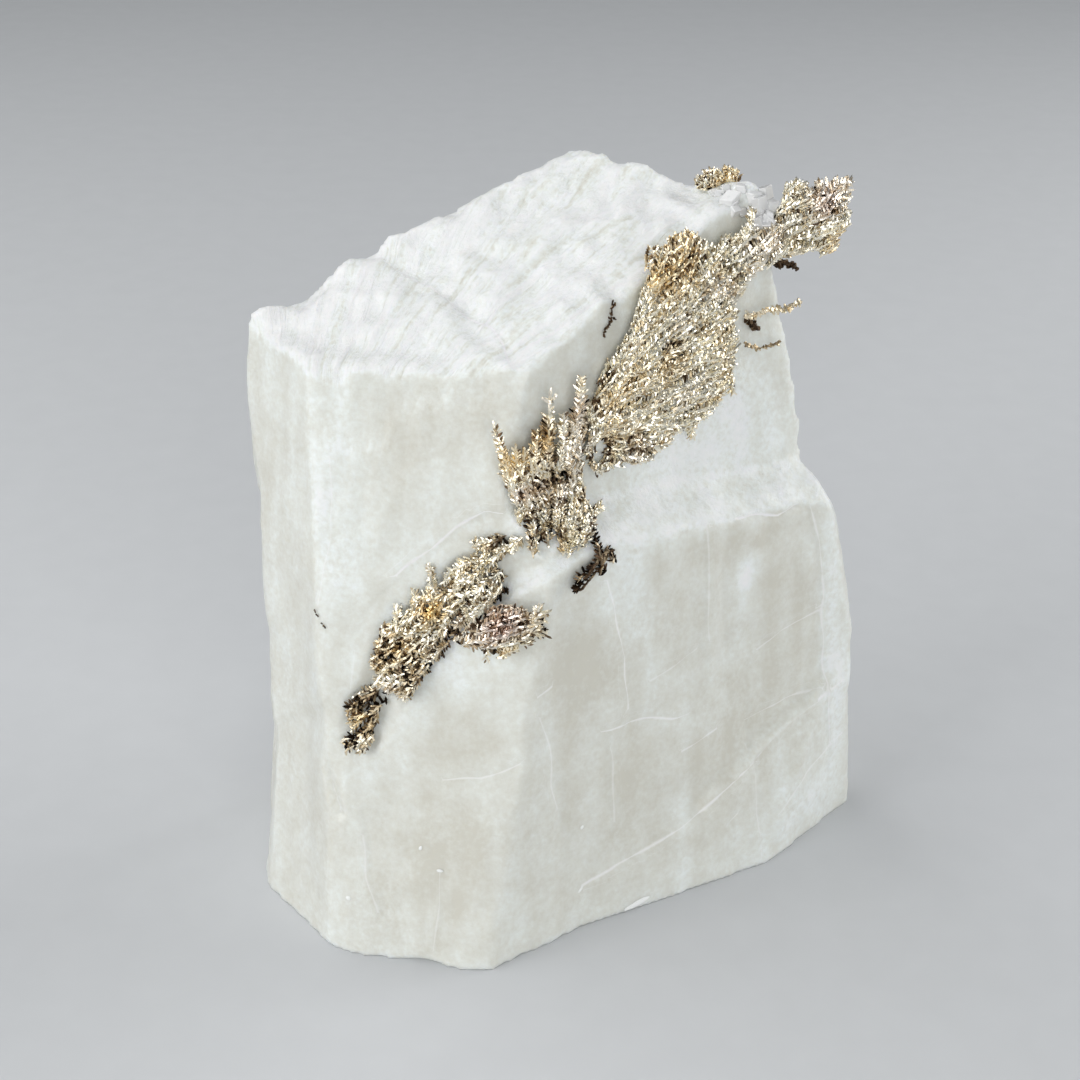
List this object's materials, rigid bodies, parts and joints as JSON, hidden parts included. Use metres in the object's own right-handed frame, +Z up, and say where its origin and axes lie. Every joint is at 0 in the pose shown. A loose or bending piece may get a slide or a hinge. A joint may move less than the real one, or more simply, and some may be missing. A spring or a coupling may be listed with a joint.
{
  "type": "calcite specimen with native silver",
  "caption": "Mineral specimen: a milky white calcite cleavage block on a flat foot, crossed by a slanting vein of feathery native silver that overhangs its top right corner.",
  "frame": {"origin": "middle of the specimen's box, on the plane that the flat foot rests on", "axes": "+Z up; -Y towards the viewer who sees the silver; +X to that viewer's right"},
  "size_m": [0.0452, 0.0338, 0.0507],
  "materials": {
    "calcite": "milky, cleaved, softly glossy",
    "native_silver": "crystalline, champagne tarnish",
    "tarnished_silver": "crystalline, near-black tarnish"
  },
  "bodies": {
    "root": {"calcite_block": "calcite", "silver_leaf": "native_silver", "silver_crest": "native_silver", "silver_fan": "native_silver", "silver_mat": "native_silver", "silver_wing": "native_silver", "silver_tail": "native_silver", "silver_dark_leaf": "tarnished_silver", "silver_tuft": "native_silver", "silver_twig_middle": "native_silver", "silver_twig_lower": "native_silver"}
  },
  "joints": []
}
